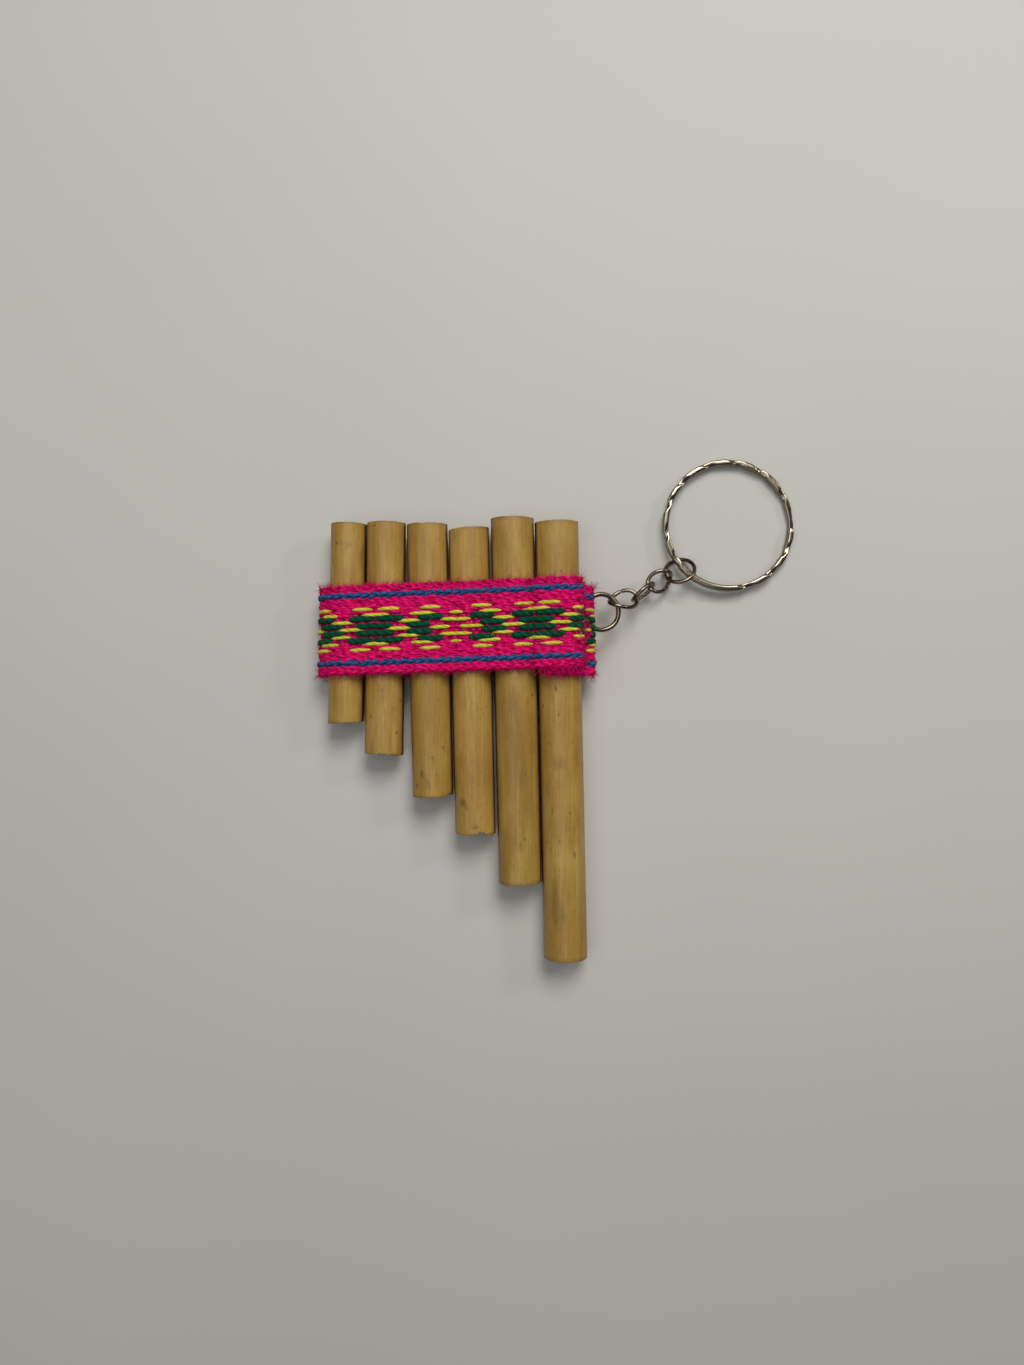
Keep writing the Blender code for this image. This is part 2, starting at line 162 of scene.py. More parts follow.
def bump(tree, height, distance, strength=1.0):
    """A bumped normal from a height value; distance is the relief in metres."""
    values = {"Height": height, "Distance": distance, "Strength": strength}
    return add(tree, "Bump", values).outputs["Normal"]


# %% [markdown]
# ## Table top and light
# The flute lies on a plain pale sheet. Most light comes from a soft window up and to the right,
# so that the shadows fall to the lower left. A pale ceiling overhead gives every round wire a
# lighter middle, and the dark rest of the room leaves its sides dark.

# %% Floor and lights
FLOOR_SIZE = 900 * MM


def floor_finish():
    """Pale matt paint with a very faint change of tone."""
    finish, tree, shader, where = new_finish("pale_table")
    tone = noise(tree, where, 9.0, 2.0)
    colour = ramp(tree, tone, (0.3, (0.600, 0.590, 0.548)), (0.7, (0.628, 0.616, 0.575)))
    connect(tree, shader, Base_Color=colour, Roughness=0.75, Specular_IOR_Level=0.3)
    return finish


def area_light(name, place, target, size, watts, colour):
    """A square soft light at a place, turned to face a target."""
    data = bpy.data.lights.new(name, "AREA")
    data.size, data.energy, data.color = size, watts, colour
    light = bpy.data.objects.new(name, data)
    light.location = place
    light.rotation_euler = (Vector(target) - Vector(place)).to_track_quat("-Z", "Y").to_euler()
    bpy.context.scene.collection.objects.link(light)


def mesh_from(bm, name):
    """The bmesh as a new mesh."""
    mesh = bpy.data.meshes.new(name)
    bm.to_mesh(mesh)
    bm.free()
    return mesh


floor_bm = bmesh.new()
bmesh.ops.create_grid(floor_bm, x_segments=1, y_segments=1, size=FLOOR_SIZE / 2)
floor_mesh = mesh_from(floor_bm, "floor")
floor_mesh.materials.append(floor_finish())
floor = bpy.data.objects.new("floor", floor_mesh)
bpy.context.scene.collection.objects.link(floor)

LIGHT_TARGET = (0.012, -0.01, 0.0)
area_light("window", (0.085, 0.27, 0.40), LIGHT_TARGET, 0.22, 1.36, (1.0, 0.985, 0.95))
area_light("strip", (0.30, 0.16, 0.22), LIGHT_TARGET, 0.06, 0.16, (1.0, 0.96, 0.88))
area_light("ceiling", (-0.12, -0.02, 0.52), LIGHT_TARGET, 0.46, 0.76, (0.97, 0.98, 1.0))

world = bpy.data.worlds.new("room")
world.use_nodes = True
room = world.node_tree.nodes["Background"].inputs
room["Color"].default_value = (0.93, 0.95, 1.0, 1.0)
room["Strength"].default_value = 0.07
bpy.context.scene.world = world
bpy.context.scene.view_settings.view_transform = "Standard"

# %% [markdown]
# ## Measuring the pipes
# Nothing is fitted by eye: each packed pipe is measured. The middles of the rings of corners
# at its two ends lie on its axis, whatever the slant of the cuts, and the farthest corner
# from that axis gives its radius.


# %% Measure the pipes
def places_of(mesh):
    """The mesh's vertex places as an array."""
    places = np.zeros(len(mesh.vertices) * 3)
    mesh.vertices.foreach_get("co", places)
    return places.reshape(-1, 3)


def corners_of(node):
    """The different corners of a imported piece."""
    return np.unique(places_of(frame["nodes"][node].data).round(7), axis=0)


def measured_pipe(node):
    """A pipe's foot, mouth and direction along its axis, and its outer radius."""
    corners = corners_of(node)
    middle = corners.mean(0)
    direction = np.linalg.svd(corners - middle, full_matrices=False)[2][0]
    direction *= np.sign(direction[1])
    along = (corners - middle) @ direction
    half = (along.max() - along.min()) / 2
    low = corners[along < along.min() + half * 0.25].mean(0)
    high = corners[along > along.max() - half * 0.25].mean(0)
    direction = (high - low) / np.linalg.norm(high - low)
    along = (corners - low) @ direction
    away = np.linalg.norm(corners - low - np.outer(along, direction), axis=1)
    return {
        "foot": low + direction * along.min(),
        "mouth": low + direction * along.max(),
        "along": direction,
        "radius": away.max(),
    }


PIPE_COUNT = 6
pipes = [measured_pipe(f"pipe_{number}") for number in range(1, PIPE_COUNT + 1)]
for number, pipe in enumerate(pipes, 1):
    length = np.linalg.norm(pipe["mouth"] - pipe["foot"])
    print(f"pipe {number}: {2 * pipe['radius'] / MM:.2f} x {length / MM:.1f} mm")

# %% [markdown]
# ## Cane finish
# The pipes are thin river cane, dry and straw yellow. Its skin is smooth and a little waxy,
# with long fine fibres, faint brown clouds, small specks and a few pinholes. Noise stretched
# along the pipe makes the fibres, unstretched noise makes the clouds, and a Voronoi pattern
# with a high threshold leaves only a few specks. The cut ends and the bore show bare wood, so
# the mesh carries an attribute `cut` that is 1 there, `edge` darkens the skin near a cut, and
# `stain` marks a few blots. In the narrow seams where two pipes touch and little light gets in,
# `seam` paints a dark brown shade into the skin, with a little grime.


# %% Cane finish
def cane_finish(name, shift, warmth):
    """Cane skin and cut wood; the shift moves the pattern and warmth tints it."""
    finish, tree, shader, where = new_finish(name)
    moved = add(tree, "Mapping", {"Vector": where, "Location": shift}).outputs["Vector"]

    def grain(stretch, *settings):
        """Noise with waves that are longer along the pipe."""
        return noise(tree, stretched(tree, moved, (1.0, stretch, 1.0)), *settings)

    fine = grain(0.022, 5200.0, 4.0, 0.6)
    broad = grain(0.05, 900.0, 3.0, 0.5)
    cloud = grain(0.45, 150.0, 4.0, 0.6, 0.4)
    grime = grain(0.3, 420.0, 5.0, 0.65, 0.8)
    dapple = grain(0.75, 1500.0, 3.0, 0.6, 1.2)
    skin = ramp(
        tree,
        cloud,
        (0.25, (0.325 * warmth, 0.180, 0.031)),
        (0.5, (0.440 * warmth, 0.262, 0.053)),
        (0.72, (0.550 * warmth, 0.352, 0.086)),
    )
    for pattern, low, high, tint in (
        (fine, (0.34, 0.42), (0.62, 0.0), (0.270, 0.134, 0.020)),
        (broad, (0.52, 0.0), (0.75, 0.45), (0.58, 0.375, 0.098)),
        (grime, (0.56, 0.0), (0.72, 0.55), (0.215, 0.108, 0.020)),
        (dapple, (0.56, 0.0), (0.72, 0.34), (0.22, 0.115, 0.025)),
    ):
        skin = mix(tree, ramp(tree, pattern, low, high), skin, tint)
    places = stretched(tree, moved, (1.0, 0.55, 1.0))
    cells = add(tree, "TexVoronoi", {"Vector": places, "Scale": 430.0})
    far = plus(tree, cells.outputs["Distance"], grime, 0.16)
    specks = ramp(tree, far, (0.120, 0.95), (0.170, 0.0))
    skin = mix(tree, specks, skin, (0.10, 0.045, 0.016))
    edge, cut, stain, seam = (
        add(tree, "Attribute", attribute_name=mark).outputs["Fac"]
        for mark in ("edge", "cut", "stain", "seam")
    )
    burnt = maths(tree, "MULTIPLY", edge, ramp(tree, broad, (0.3, 0.55), (0.7, 0.9)))
    skin = mix(tree, burnt, skin, (0.16, 0.080, 0.026))
    skin = mix(tree, stain, skin, (0.115, 0.055, 0.02))
    # Painted shade, with a little grime: dark brown on the sides where the pipes touch.
    skin = mix(tree, seam, skin, (0.050, 0.016, 0.006))
    pores = noise(tree, moved, 5200.0, 2.0, 0.5)
    pale, brown, dark = (0.50, 0.34, 0.15), (0.34, 0.20, 0.075), (0.125, 0.060, 0.020)
    wood = ramp(tree, pores, (0.36, dark), (0.5, brown), (0.7, pale))
    connect(tree, shader, Base_Color=mix(tree, cut, skin, wood))
    skin_rough = ramp(tree, fine, (0.3, 0.52), (0.7, 0.40))
    connect(tree, shader, Roughness=mix(tree, cut, skin_rough, (0.85, 0.85, 0.85)))
    relief = plus(tree, plus(tree, fine, broad, 1.4), specks, -1.2)
    relief = plus(tree, relief, cut, pores)
    connect(tree, shader, Normal=bump(tree, relief, 0.02 * MM, 0.8))
    connect(tree, shader, Specular_IOR_Level=0.42, Coat_Weight=0.06, Coat_Roughness=0.3)
    return finish


# %% [markdown]
# ## Pipes
# A pipe is a body of revolution, so its half section is spun about its axis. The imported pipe
# has 36 flat sides; here it gets many more sides and rows, because real cane is not a perfect
# cylinder. Long shallow ribs, a slightly oval section and rounded rims are pushed into the
# mesh itself, where a bump map would leave a straight outline. The saw left the cuts a little
# rough, and some feet are chipped: those are real steps in the mesh too.

# %% Pipe helpers
PIPE_WALL = 0.85 * MM
STOP_THICKNESS = 1.2 * MM
STOP_FROM_FOOT = 2.6 * MM
RIM_ROUND = 0.08 * MM
PIPE_SIDES = 96
PIPE_ROWS = 90
RIB_DEPTH = 0.022 * MM
OVAL_DEPTH = 0.045 * MM
SKIN_GROWTH = 0.07 * MM
SAW_ROUGHNESS = 0.035 * MM
EDGE_REACH = 0.55 * MM
# Where the painted seam shade begins and where it is full, as the cosine toward a neighbour.
SEAM_SHADE_START = (0.90, 0.985)
END_MARGIN = 0.25 * MM
CUT_FADE = (0.4 * MM, 2.2 * MM)


def periodic_noise(angles, waves, generator, power=0.8):
    """A smooth random wave round a circle, from -1 to 1, built from whole numbers of waves."""
    total = np.zeros_like(angles)
    for wave in range(1, waves + 1):
        size = generator.normal() / wave**power
        total += size * np.cos(wave * angles + generator.uniform(0, math.tau))
    return total / max(1e-9, np.abs(total).max())


def arc_profile(centre_r, centre_h, start, end, steps=4):
    """Points of a small rounding in the half section, in degrees from outwards to upwards."""
    angles = np.radians(np.linspace(start, end, steps + 1))
    return [
        (centre_r + RIM_ROUND * math.cos(a), centre_h + RIM_ROUND * math.sin(a)) for a in angles
    ]


def pipe_half_section(radius, length):
    """The half section from the stopper's lower side, over the skin, to its upper side."""
    bore = radius - PIPE_WALL
    low_stop, high_stop = STOP_FROM_FOOT, STOP_FROM_FOOT + STOP_THICKNESS
    section = [(0, low_stop), (bore * 0.5, low_stop + 0.1 * MM), (bore * 0.88, low_stop)]
    section += [(bore, low_stop - 0.25 * MM), (bore, low_stop * 0.5), (bore, 0.15 * MM)]
    section += [(bore + 0.12 * MM, 0.0)]
    section += arc_profile(radius - RIM_ROUND, RIM_ROUND, -90, 0)
    for row in range(1, PIPE_ROWS):
        section.append((radius, RIM_ROUND + (length - 2 * RIM_ROUND) * row / PIPE_ROWS))
    section += arc_profile(radius - RIM_ROUND, length - RIM_ROUND, 0, 90)
    section += [(bore + 0.12 * MM, length), (bore, length - 0.15 * MM)]
    for row in range(1, 12):
        section.append((bore, length + (high_stop - length) * row / 12))
    section += [(bore, high_stop + 0.25 * MM), (bore * 0.88, high_stop), (0, high_stop)]
    return section


def spun(section, steps):
    """The half section turned once about the Z axis, its seam and poles merged."""
    bm = bmesh.new()
    line = [bm.verts.new((r, 0, h)) for r, h in section]
    for low, high in zip(line, line[1:]):
        bm.edges.new((low, high))
    turned = {"cent": (0, 0, 0), "axis": (0, 0, 1), "angle": math.tau, "steps": steps}
    bmesh.ops.spin(bm, geom=bm.verts[:] + bm.edges[:], use_merge=True, **turned)
    bmesh.ops.remove_doubles(bm, verts=bm.verts, dist=1e-7)
    bmesh.ops.recalc_face_normals(bm, faces=bm.faces)
    return bm


def set_places(mesh, places):
    """Moves the mesh's vertices to the given places."""
    mesh.vertices.foreach_set("co", np.ascontiguousarray(places).ravel())
    mesh.update()


def new_piece(name, mesh, finish, body, slot, *stands_for):
    """A finished piece that rides on a body, with its finish; the slot is not used."""
    piece = bpy.data.objects.new(name, mesh)
    bpy.context.scene.collection.objects.link(piece)
    mesh.materials.append(finish)
    mesh.shade_smooth()
    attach(piece, body)
    if stands_for:
        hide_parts(*stands_for)
    return piece


def turned_from(middle, degrees):
    """How far angles are from a middle one, from -180 to 180 degrees."""
    return (degrees - middle + 180) % 360 - 180


def step_up(values, start, end):
    """0 below start, 1 above end and a smooth step between."""
    share = np.clip((values - start) / (end - start), 0, 1)
    return share * share * (3 - 2 * share)


# %% Chips and stains
# Each chip: (angle of its middle, half its width, depth). 90 degrees faces the viewer.
FOOT_CHIPS = {
    2: [(58, 12, 0.30), (76, 9, 0.16), (92, 13, 0.34), (112, 8, 0.2), (130, 11, 0.26)],
    3: [(24, 12, 0.45), (44, 8, 0.15)],
    4: [(58, 9, 0.2), (76, 13, 0.46), (96, 8, 0.22), (118, 10, 0.12)],
    6: [(60, 7, 0.14)],
}
MOUTH_CHIPS = {3: [(100, 6, 0.1)], 6: [(30, 8, 0.2)]}
# Each stain: (distance from the foot, angle, length, width, strength), sizes in mm.
STAINS = {
    1: [(33.0, 106, 0.5, 0.2, 0.6)],
    2: [(12.0, 92, 0.5, 0.3, 0.5)],
    3: [(4.4, 118, 0.9, 0.35, 0.75), (2.2, 100, 1.2, 0.8, 0.3), (7.3, 84, 0.25, 0.25, 0.7)],
    4: [(6.1, 124, 1.0, 0.9, 0.6), (5.3, 112, 0.6, 0.5, 0.45), (1.6, 88, 0.5, 0.9, 0.5)],
    5: [(7.3, 88, 0.9, 0.35, 0.35), (20.0, 70, 0.5, 0.3, 0.4)],
    6: [(79.6, 74, 0.28, 0.22, 0.95), (50.2, 104, 0.35, 0.3, 0.95), (36.6, 96, 1.6, 1.8, 0.28),
        (19.9, 62, 0.4, 0.3, 0.75), (10.5, 116, 6.0, 0.9, 0.45), (8.5, 104, 4.0, 0.8, 0.3)],
}


def cane_pipe(number):
    """One pipe with ribs, rough cuts and chips, placed on its measured axis."""
    pipe = pipes[number - 1]
    radius = pipe["radius"]
    length = float(np.linalg.norm(pipe["mouth"] - pipe["foot"]))
    corners = corners_of(f"pipe_{number}")
    along = pipe["along"]
    across = np.cross(along, (0, 0, 1))
    across /= np.linalg.norm(across)
    up = np.cross(across, along)
    local = corners - pipe["foot"]
    side, height = local @ across, local @ along
    rim = np.hypot(side, local @ up) > radius * 0.99
    foot_rim, mouth_rim = rim & (height < length / 2), rim & (height > length / 2)
    foot_slope = np.polyfit(side[foot_rim], height[foot_rim], 1)
    mouth_slope = np.polyfit(side[mouth_rim], height[mouth_rim], 1)
    foot_level, mouth_level = foot_slope[1] - END_MARGIN, mouth_slope[1] + END_MARGIN

    bm = spun(pipe_half_section(radius, mouth_level - foot_level), PIPE_SIDES)
    mesh = mesh_from(bm, f"cane_pipe_{number}")
    places = places_of(mesh)
    r, h = np.hypot(places[:, 0], places[:, 1]), places[:, 2]
    full = mouth_level - foot_level
    angle = np.arctan2(places[:, 1], places[:, 0])
    generator = np.random.default_rng(100 + number)
    skin = step_up(r, radius - 2.2 * RIM_ROUND, radius - 0.3 * RIM_ROUND)

    ribs = periodic_noise(angle + 0.12 * np.sin(h / full * 3), 26, generator, 0.35)
    oval = np.cos(2 * (angle - generator.uniform(0, math.tau)))
    swell = 0.4 * np.sin(h / full * generator.uniform(5, 9) + generator.uniform(0, 6))
    wider = skin * (SKIN_GROWTH + RIB_DEPTH * ribs + OVAL_DEPTH * (0.4 * oval + 0.3 * swell))
    places[:, 0] += wider * np.cos(angle)
    places[:, 1] += wider * np.sin(angle)

    near_foot = 1 - step_up(h, *CUT_FADE)
    near_mouth = 1 - step_up(full - h, *CUT_FADE)
    rough = periodic_noise(angle, 30, generator, 0.3) + 0.8 * periodic_noise(angle, 7, generator)
    places[:, 2] += SAW_ROUGHNESS * rough * (near_foot + near_mouth)
    wall = step_up(r, radius - PIPE_WALL - 0.05 * MM, radius - PIPE_WALL)
    for chips, near, way in ((FOOT_CHIPS, near_foot, 1), (MOUTH_CHIPS, near_mouth, -1)):
        for middle, half, depth in chips.get(number, ()):
            off = np.abs(turned_from(middle, np.degrees(angle))) / half
            bite = np.clip(1.25 - off, 0, 1) ** 0.7
            jag = 1.2 + 0.9 * periodic_noise(angle, 44, generator, 0.1)
            places[:, 2] += way * near * wall * bite * jag * depth * MM
    places[:, 2] += near_foot * places[:, 0] * foot_slope[0]
    places[:, 2] += near_mouth * places[:, 0] * mouth_slope[0]

    reach = EDGE_REACH * (1 + 0.7 * periodic_noise(angle, 18, generator, 0.4))
    edge = np.maximum(1 - h / reach, 1 - (full - h) / (reach * 0.55))
    stain = np.zeros(len(h))
    for distance, middle, long, wide, strength in STAINS.get(number, ()):
        around = np.radians(turned_from(middle, np.degrees(angle))) * radius
        spot = np.hypot((h - distance * MM) / (long * MM), around / (wide * MM))
        stain = np.maximum(stain, strength * (1 - step_up(spot, 0.35, 1.15)) * skin)
    sideways = np.cos(angle)
    # Painted shade, with a little grime, on the sides that face a neighbouring pipe.
    painted_seam_shade = (number < PIPE_COUNT) * step_up(sideways, *SEAM_SHADE_START)
    if number > 1:
        neighbour_foot = pipes[number - 2]["foot"][1] - pipe["foot"][1] - foot_level
        painted_seam_shade = painted_seam_shade + step_up(-sideways, *SEAM_SHADE_START) * (h > neighbour_foot)
    edge = np.clip(edge, 0, 1) ** 1.5 * 0.8 * skin
    marks = {"seam": painted_seam_shade * skin, "edge": edge, "cut": 1 - skin, "stain": stain}
    for mark, values in marks.items():
        layer = mesh.attributes.new(mark, "FLOAT", "POINT")
        layer.data.foreach_set("value", np.asarray(values, np.float32))

    start = pipe["foot"] + along * foot_level
    placed = start + np.outer(places[:, 0], across) + np.outer(places[:, 1], up)
    set_places(mesh, placed + np.outer(places[:, 2], along))
    shift = tuple(generator.uniform(0, 0.4, 3))
    finish = cane_finish(f"cane_{number}", shift, generator.uniform(0.97, 1.03))
    return new_piece(f"cane_pipe_{number}", mesh, finish, "flute", "cane", f"pipe_{number}")


# %% Build the pipes
cane_pieces = [cane_pipe(number) for number in range(1, PIPE_COUNT + 1)]
print("pipe faces:", [len(piece.data.polygons) for piece in cane_pieces])

# %% [markdown]
# ## The band's route
# One strip of hand-woven wool goes once round all six pipes, and its free end lies over its
# own start. The cloth is taut, so in a section across the pipes it is the shortest line round
# their circles: straight from crown to crown, an arc where it turns. On the right it stands
# off to let a ring pass. The route is a line of points that is then evened out and smoothed,
# and `on_cloth` turns (distance along, distance across, height) into a place on the strip.

# %% Band sizes and its route
BAND_WIDTH = 15.7 * MM
BAND_THICKNESS = 1.0 * MM
BAND_CLEARANCE = 0.3 * MM
BAND_TUCK = 3.4 * MM
BAND_END_ANGLE = 50.0
BAND_SLACK = 0.75 * MM
BAND_RISE = 1.8 * MM
BAND_STEP = 1.5 * MM
RING_POCKET = 1.75 * MM
POCKET_ANGLE = 10.0
POCKET_HALF_ARC = 20.0
ROUTE_STEP = 0.1 * MM
ROUTE_SMOOTHING = 0.45 * MM
PAST_LEFT_TURN = 5.0 * MM
PAST_RIGHT_TURN = 8.0 * MM


def pipe_middle(number, y=0.0):
    """Where a pipe's axis passes the given y, as (x, z)."""
    pipe = pipes[number - 1]
    share = (y - pipe["foot"][1]) / (pipe["mouth"][1] - pipe["foot"][1])
    point = pipe["foot"] + (pipe["mouth"] - pipe["foot"]) * share
    return np.array((point[0], point[2]))


def wrap_radius(number, angle):
    """From a pipe's axis to the middle of the cloth round it, with the slack at the sides."""
    snug = pipes[number - 1]["radius"] + BAND_CLEARANCE
    bulge, middle = RING_POCKET - BAND_CLEARANCE, POCKET_ANGLE
    if number == 1:
        bulge, middle = BAND_SLACK, -180.0
    reach = math.degrees(math.acos(snug / (snug + bulge)))
    outside = max(0.0, abs(angle - middle) - POCKET_HALF_ARC)
    return snug / math.cos(math.radians(max(0.0, reach - outside))) + BAND_THICKNESS / 2


def on_wrap(number, angle, lift=0.0):
    """The cloth's middle at an angle round a pipe."""
    radius = pipes[number - 1]["radius"] + BAND_CLEARANCE + BAND_THICKNESS / 2
    if number in (1, PIPE_COUNT):
        radius = wrap_radius(number, angle)
    turn = math.radians(angle)
    return pipe_middle(number) + (radius + lift) * np.array((math.cos(turn), math.sin(turn)))


def toward(start, end, distance):
    """The point a distance from start on the way to end."""
    return start + (end - start) * distance / np.linalg.norm(end - start)


def band_route():
    """Points along the strip's middle in the XZ plane, from its tucked end to its free end."""
    layer = BAND_THICKNESS + BAND_CLEARANCE
    crown, before = on_wrap(PIPE_COUNT, 90), on_wrap(PIPE_COUNT - 1, 90)
    points = [toward(crown, before, BAND_TUCK)]
    points += [on_wrap(PIPE_COUNT, angle) for angle in range(90, -91, -5)]
    points += [on_wrap(1, angle) for angle in range(-90, -271, -5)]
    points += [on_wrap(number, 90) for number in range(2, PIPE_COUNT)]
    ramp_top = BAND_TUCK + BAND_CLEARANCE
    points.append(toward(crown, before, ramp_top + 1.6 * MM))
    points.append(toward(crown, before, ramp_top) + np.array((0, layer)))
    points += [
        on_wrap(PIPE_COUNT, angle, layer) for angle in np.arange(90, BAND_END_ANGLE - 1, -5)
    ]
    return np.array(points)


def distance_along(points):
    """How far along a line each of its points is."""
    gaps = np.linalg.norm(np.diff(points, axis=0), axis=1)
    return np.concatenate(([0], np.cumsum(gaps)))


def evened(points, step):
    """The line resampled at an even step, and smoothed so that its corners are bends."""
    distance = distance_along(points)
    count = int(distance[-1] / step) + 1
    even = np.linspace(0, distance[-1], count)
    line = np.stack([np.interp(even, distance, points[:, axis]) for axis in (0, 1)], 1)
    reach = int(3 * ROUTE_SMOOTHING / step)
    weights = np.exp(-0.5 * (np.arange(-reach, reach + 1) * step / ROUTE_SMOOTHING) ** 2)
    weights /= weights.sum()
    ends = (2 * line[0] - line[reach:0:-1], 2 * line[-1] - line[-2 : -reach - 2 : -1])
    padded = np.concatenate((ends[0], line, ends[1]))
    smooth = [np.convolve(padded[:, axis], weights, "valid") for axis in (0, 1)]
    return np.stack(smooth, 1)


route = evened(band_route(), ROUTE_STEP)
route_distance = distance_along(route)
BAND_LENGTH = float(route_distance[-1])
route_ahead = np.gradient(route, axis=0)
route_ahead /= np.linalg.norm(route_ahead, axis=1)[:, None]
route_normal = np.stack((-route_ahead[:, 1], route_ahead[:, 0]), 1)
print(f"the strip is {BAND_LENGTH / MM:.1f} mm long")

# %% Places on the cloth
first_x, last_x = pipe_middle(1)[0], pipe_middle(PIPE_COUNT)[0]
PITCH = pipes[-1]["along"][2] / pipes[-1]["along"][1]
lean_of = [pipe["along"][0] / pipe["along"][1] for pipe in (pipes[0], pipes[-1])]
turn_left = route_distance[np.argmin(route[:, 0])]
front_start = turn_left + PAST_LEFT_TURN
back_start = route_distance[np.argmax(route[:, 0])] + PAST_RIGHT_TURN


def strip_middle(u):
    """The Y of the strip's middle at a distance along it: level behind, climbing in front."""
    under_y = BAND_RISE / 2 - BAND_STEP
    knots = [0, back_start, turn_left, BAND_LENGTH]
    return np.interp(u, knots, [under_y, under_y, -BAND_RISE / 2, BAND_RISE / 2])


def on_route(u, pairs):
    """The route's places or normals, as x and z, at distances along it."""
    return [np.interp(u, route_distance, pairs[:, axis]) for axis in (0, 1)]


def on_cloth(u, v, height):
    """Places for distances along the strip, across it and out from its middle."""
    u, v, height = np.broadcast_arrays(
        np.asarray(u, float), np.asarray(v, float), np.asarray(height, float)
    )
    (x, z), (nx, nz) = on_route(u, route), on_route(u, route_normal)
    past = np.maximum(u - BAND_LENGTH, 0) + np.minimum(u, 0)
    x = x + past * np.where(u > 0, route_ahead[-1, 0], route_ahead[0, 0])
    z = z + past * np.where(u > 0, route_ahead[-1, 1], route_ahead[0, 1])
    y = strip_middle(u) + v
    lean = np.interp(x, (first_x, last_x), lean_of)
    rise = PITCH * y * np.clip((nz + 1) / 0.6, 0, 1)
    place = np.stack((x + nx * height + y * lean, y, z + nz * height + rise), -1)
    place[..., 2] = np.maximum(place[..., 2], 0.02 * MM)
    return place


print("cloth at the left turn:", (on_cloth(turn_left, 0, 0) / MM).round(2))

# %% [markdown]
# ## Wool finish
# The yarn is hot pink, lime, bottle green and blue wool, two plies twisted together, fluffy
# and quite matt. A fuzzy rim light comes from the shader's sheen. The yarn's own UV map runs
# along it and round it, so a slanted wave across that map gives the twist of the plies, and
# noise breaks the colour into lighter and darker fibres.


# %% Wool finish
PLY_TWIST = 1.5 * MM


def wool_finish(name, dark, middle, light, sheen):
    """Twisted wool yarn in three tones of one dye."""
    finish, tree, shader, where = new_finish(name)
    along_round = add(tree, "UVMap", uv_map="yarn").outputs["UV"]
    parts = add(tree, "SeparateXYZ", {"Vector": along_round})
    turns = maths(tree, "MULTIPLY", parts.outputs["X"], 1.0 / PLY_TWIST)
    phase = plus(tree, turns, parts.outputs["Y"], 2.0)
    ply = maths(tree, "SINE", maths(tree, "MULTIPLY", phase, math.tau))
    ply = plus(tree, 0.5, ply, 0.5)
    fibre = noise(tree, where, 5200.0, 3.0, 0.7)
    tuft = noise(tree, where, 1500.0, 3.0, 0.6)
    tone = plus(tree, maths(tree, "MULTIPLY", ply, 0.20), fibre, 0.44)
    tone = plus(tree, tone, tuft, 0.40)
    colour = ramp(tree, tone, (0.26, dark), (0.5, middle), (0.76, light))
    connect(tree, shader, Base_Color=colour)
    connect(tree, shader, Normal=bump(tree, maths(tree, "ADD", ply, fibre), 0.05 * MM, 0.7))
    connect(tree, shader, Roughness=0.9, Specular_IOR_Level=0.06)
    connect(tree, shader, Sheen_Weight=0.08, Sheen_Roughness=0.45, Sheen_Tint=sheen)
    return finish


DYES = {
    "pink": ((0.26, 0.001, 0.035), (0.76, 0.003, 0.135), (0.98, 0.028, 0.260), (1.0, 0.25, 0.5)),
    "green": ((0.001, 0.022, 0.013), (0.002, 0.064, 0.030), (0.005, 0.125, 0.06), (0.3, 0.8, 0.5)),
    "lime": ((0.36, 0.31, 0.022), (0.68, 0.65, 0.055), (0.82, 0.80, 0.10), (1.0, 1.0, 0.5)),
    "blue": ((0.006, 0.022, 0.085), (0.016, 0.085, 0.25), (0.060, 0.20, 0.40), (0.5, 0.7, 1.0)),
}
WOOLS = {colour: wool_finish(f"{colour}_wool", *tones) for colour, tones in DYES.items()}
WOOLS["face"] = WOOLS["pink"]
print("wool finishes:", sorted(WOOLS))

# %% [markdown]
# ## Rolling a grid into yarn
# More than forty yarns run the whole length of the strip. Each is made the same way: a grid with
# one row of squares per side of the yarn is rolled round the yarn's line, and its seam is
# merged. The grid is a bmesh operator's, and numpy moves all its corners at once, which is
# quick enough for hundreds of thousands of faces.


# %% Yarn helper
def equal_grids(count, rows, sides):
    """Copies of one flat grid in one bmesh, made by doubling, and each copy's corners in order."""
    bm = bmesh.new()
    bmesh.ops.create_grid(bm, x_segments=rows - 1, y_segments=sides, size=0.5)
    each = len(bm.verts)
    made = 1
    while made < count:
        part = min(made, count - made)
        bm.verts.ensure_lookup_table()
        verts = bm.verts[: part * each]
        chosen = set(verts)
        faces = [face for face in bm.faces if face.verts[0] in chosen]
        edges = {edge for face in faces for edge in face.edges}
        bmesh.ops.duplicate(bm, geom=verts + list(edges) + faces)
        made += part
    return bm


